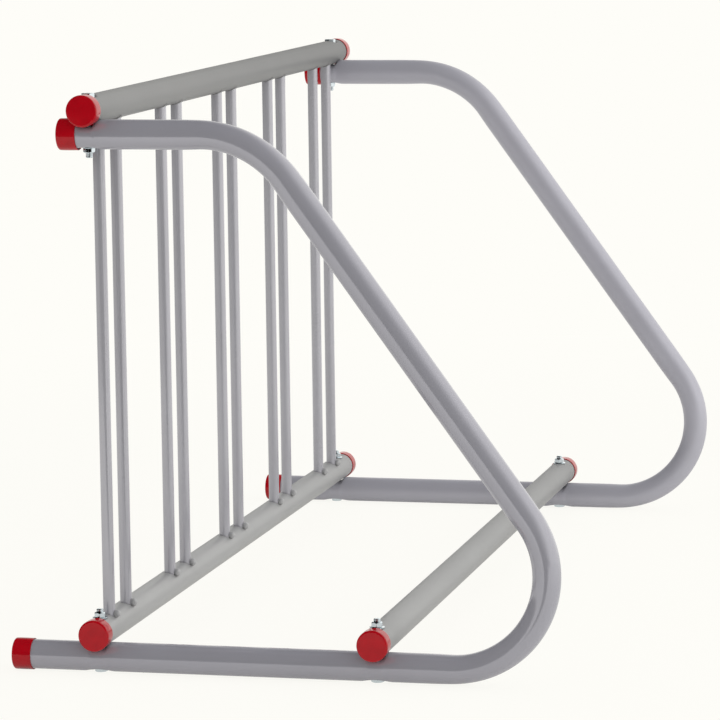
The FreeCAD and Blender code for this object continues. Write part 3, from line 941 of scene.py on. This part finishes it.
def painted_reflection_flags():
    """Sheets of painted reflection on the side where the camera stands, so that gloss has something dark to
    show: black, glowing pale towards their edges, and seen by nothing but gloss. Overhead it is a bowl: a
    part of a sphere, out to 114 degrees from its axis, which pales from 70 degrees on. On the floor it is a
    fan, which pales on the rack's rear side: painted shade on the floor as gloss shows it. It starts 2.9 to
    3.75 m out, and a tongue of it, a bell curve over the angle, comes within 1.05 m towards the camera."""
    axis = np.array(FLAG_AXIS)
    side = np.cross(axis, (0, 0, 1.0))
    side /= np.linalg.norm(side)
    other = np.cross(axis, side)
    polar = np.linspace(0, math.radians(114), 30)[:, None, None]
    turn = np.linspace(0, 2 * math.pi, 49)[None, :, None]
    bowl = FLAG_RADIUS * (np.cos(polar) * axis + np.sin(polar) * (np.cos(turn) * side + np.sin(turn) * other))
    # Painted reflection: dark about the bowl's axis, paling away from it
    cloth = painted_reflection_cloth("bowl_painted_reflection", FLAG_AXIS, 0.35, -0.40, BACKDROP_GLOSS)
    gloss_flag("black_bowl", bowl, cloth)
    azimuth = np.linspace(math.radians(60), math.radians(226), 40)[None, :]
    # Painted shade: the fan and its tongue darken the floor for gloss
    tongue = 2.7 * np.exp(-((azimuth - math.radians(197)) / math.radians(15)) ** 2)
    start = 2.9 + 0.85 * eased((azimuth - math.radians(110)) / math.radians(50)) - tongue
    reach = start + (FLAG_RADIUS - start) * np.linspace(0, 1, 3)[:, None]
    fan = np.stack([reach * np.cos(azimuth), reach * np.sin(azimuth), 2 * MM * np.ones_like(reach)], -1)
    gloss_flag("black_fan", fan, painted_reflection_cloth("fan_painted_shade", (0, 1, 0), 0.2, 0.75, 0.7))


def side_softbox(power):
    """A large rectangular soft lamp that faces the rack. Gloss sees the plain backdrop in its place."""
    lamp = bpy.data.lights.new("side_softbox", "AREA")
    lamp.shape = "RECTANGLE"
    lamp.size, lamp.size_y = LAMP_SIZE
    lamp.energy = power
    holder = new_object("side_softbox", lamp)
    holder.visible_glossy = False
    holder.location = LAMP_PLACE
    holder.rotation_euler = (LAMP_TARGET - LAMP_PLACE).to_track_quat("-Z", "Y").to_euler()


def studio_camera():
    """The camera, from its place, yaw from +X, downward pitch and roll."""
    yaw, pitch, roll = CAMERA_YAW, CAMERA_PITCH, CAMERA_ROLL
    ahead = Vector((math.cos(pitch) * math.cos(yaw), math.cos(pitch) * math.sin(yaw), -math.sin(pitch)))
    level = Vector((math.sin(yaw), -math.cos(yaw), 0))
    down = ahead.cross(level)
    right = math.cos(roll) * level + math.sin(roll) * down
    down = math.cos(roll) * down - math.sin(roll) * level
    lens = bpy.data.cameras.new("studio_camera")
    lens.sensor_fit = "HORIZONTAL"
    lens.sensor_width = 36
    lens.lens = CAMERA_LENS
    camera = new_object("studio_camera", lens)
    turn = Matrix((right, -down, -ahead)).transposed()
    camera.matrix_world = Matrix.Translation(CAMERA_PLACE) @ turn.to_4x4()
    bpy.context.scene.camera = camera


class RACK_OT_stage(Operator):
    """Set up the paper floor, the soft light and the camera"""
    bl_idname = "rack.build_stage"
    bl_label = "Stage"

    def execute(self, context):
        studio = context.scene.rack_studio
        context.scene.world = backdrop_world(studio)
        angle = full_turn(96)
        mesh = bpy.data.meshes.new("paper_floor")
        rim = FLOOR_RADIUS * np.stack([np.cos(angle), np.sin(angle), 0 * angle], -1)
        mesh.from_pydata(rim, [], [list(range(len(angle)))])
        mesh.materials.append(backdrop_paper(studio))
        new_object("paper_floor", mesh)
        painted_reflection_flags()
        side_softbox(studio.softbox_power)
        studio_camera()
        context.scene.view_settings.view_transform = "Standard"
        return {"FINISHED"}


class RACK_PT_panel(Panel):
    """Lists the rack's sizes, colours and building steps"""
    bl_label = "Hoop bike rack"
    bl_space_type = "VIEW_3D"
    bl_region_type = "UI"
    bl_category = "Bike rack"

    def draw(self, context):
        for group, field in GROUPS.items():
            box = self.layout.box()
            box.label(text=group.__doc__)
            for setting in group.__annotations__:
                box.prop(getattr(context.scene, field), setting)
        for step in STEPS:
            self.layout.operator(step.bl_idname)


GROUPS = {RackTubes: "rack_tubes", RackCaps: "rack_caps", RackFasteners: "rack_fasteners",
          RackFinish: "rack_finish", RackStudio: "rack_studio"}
STEPS = (RACK_OT_hoops, RACK_OT_rails, RACK_OT_bars, RACK_OT_welds, RACK_OT_caps, RACK_OT_fasteners,
         RACK_OT_stage)


def register():
    """Registers the classes and puts the settings on the scene."""
    for group, field in GROUPS.items():
        bpy.utils.register_class(group)
        setattr(bpy.types.Scene, field, PointerProperty(type=group))
    for kind in (*STEPS, RACK_PT_panel):
        bpy.utils.register_class(kind)


def unregister():
    """Takes the classes and the settings away again."""
    for kind in (RACK_PT_panel, *reversed(STEPS)):
        bpy.utils.unregister_class(kind)
    for group, field in GROUPS.items():
        delattr(bpy.types.Scene, field)
        bpy.utils.unregister_class(group)


def main():
    register()
    for step in STEPS:
        getattr(bpy.ops.rack, step.bl_idname.split(".")[1])()


if __name__ == "__main__":
    main()
